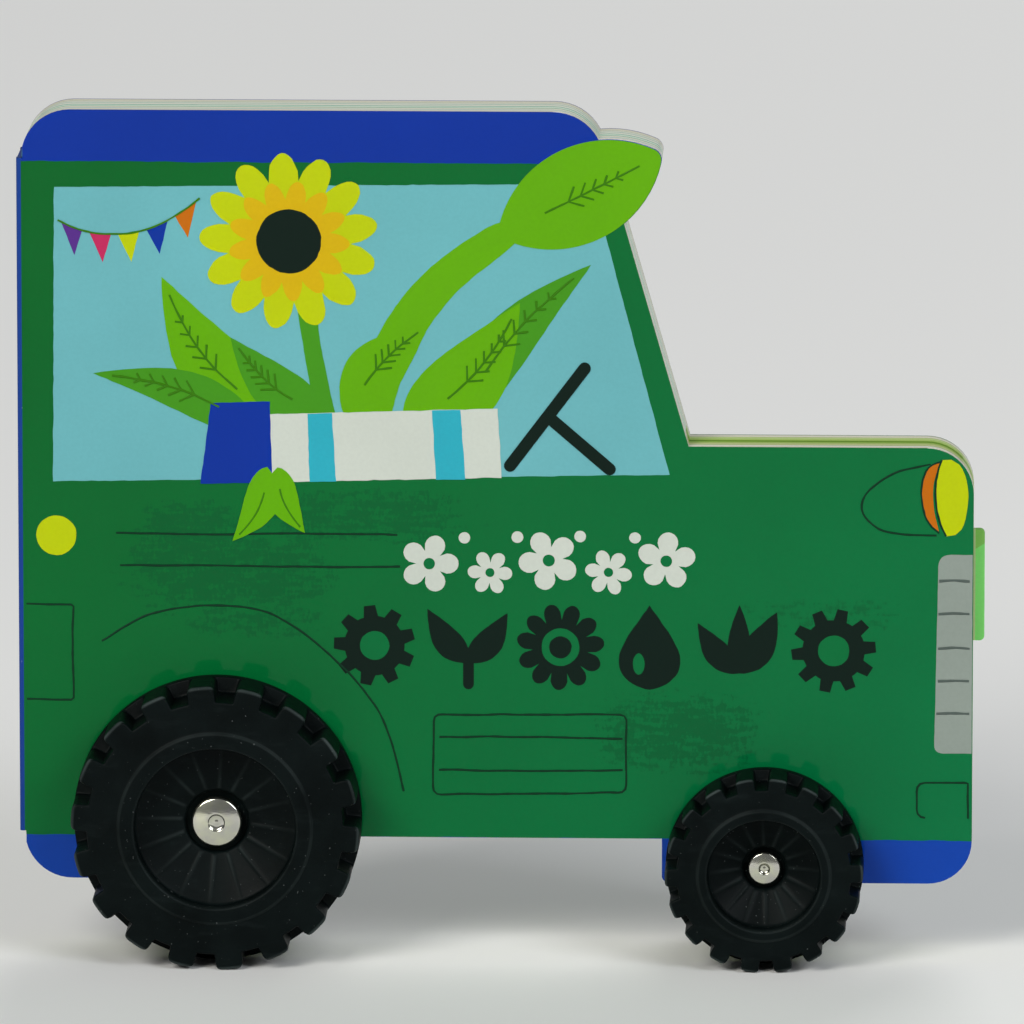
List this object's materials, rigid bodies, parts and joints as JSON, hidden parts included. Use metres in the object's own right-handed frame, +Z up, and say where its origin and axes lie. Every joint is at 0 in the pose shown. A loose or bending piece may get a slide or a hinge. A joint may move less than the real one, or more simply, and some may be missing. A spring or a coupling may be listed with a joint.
{
  "type": "board book",
  "caption": "Die-cut board book shaped like a small tractor, with thick pages, two opening covers and moulded wheels that turn.",
  "frame": {"origin": "on the surface that the wheels stand on, under the middle of the book's overall box", "axes": "+X from the spine to the nose, +Y towards the back cover, +Z up; the front cover faces -Y"},
  "size_m": [0.1974, 0.0458, 0.1753],
  "materials": {
    "cover_print": "glossy laminated print",
    "cover_lining": "glossy laminated print",
    "page_board": "laminated board with cut edges",
    "wheel_plastic": "moulded, fine satin",
    "washer_plastic": "moulded",
    "axle_steel": "plated",
    "cap_steel": "polished plate"
  },
  "bodies": {
    "root": {"page_block": "page_board", "spine": "cover_print"},
    "front_cover": {"front_cover_board": "cover_print", "front_cover_lining": "cover_lining", "front_large_pin": "axle_steel", "front_large_washer": "washer_plastic", "front_large_cap": "cap_steel", "front_small_pin": "axle_steel", "front_small_washer": "washer_plastic", "front_small_cap": "cap_steel"},
    "front_large_wheel": {"front_large_wheel": "wheel_plastic"},
    "front_small_wheel": {"front_small_wheel": "wheel_plastic"},
    "back_cover": {"back_cover_board": "cover_print", "back_cover_lining": "cover_lining", "back_large_pin": "axle_steel", "back_large_washer": "washer_plastic", "back_large_cap": "cap_steel", "back_small_pin": "axle_steel", "back_small_washer": "washer_plastic", "back_small_cap": "cap_steel"},
    "back_large_wheel": {"back_large_wheel": "wheel_plastic"},
    "back_small_wheel": {"back_small_wheel": "wheel_plastic"}
  },
  "joints": [
    {"name": "front_cover_hinge", "type": "hinge", "parent": "root", "child": "front_cover", "pos_m": [-0.09765, -0.00745, 0.09565], "axis": [0, 0, -1], "range_deg": [0, 180]},
    {"name": "front_large_wheel_spin", "type": "hinge", "parent": "front_cover", "child": "front_large_wheel", "pos_m": [-0.05785, -0.01545, 0.0295], "axis": [0, 1, 0], "continuous": true},
    {"name": "front_small_wheel_spin", "type": "hinge", "parent": "front_cover", "child": "front_small_wheel", "pos_m": [0.05405, -0.01545, 0.02025], "axis": [0, 1, 0], "continuous": true},
    {"name": "back_cover_hinge", "type": "hinge", "parent": "root", "child": "back_cover", "pos_m": [-0.09765, 0.00745, 0.09565], "axis": [0, 0, 1], "range_deg": [0, 110]},
    {"name": "back_large_wheel_spin", "type": "hinge", "parent": "back_cover", "child": "back_large_wheel", "pos_m": [-0.05785, 0.01545, 0.0295], "axis": [0, 1, 0], "continuous": true},
    {"name": "back_small_wheel_spin", "type": "hinge", "parent": "back_cover", "child": "back_small_wheel", "pos_m": [0.05405, 0.01545, 0.02025], "axis": [0, 1, 0], "continuous": true}
  ]
}
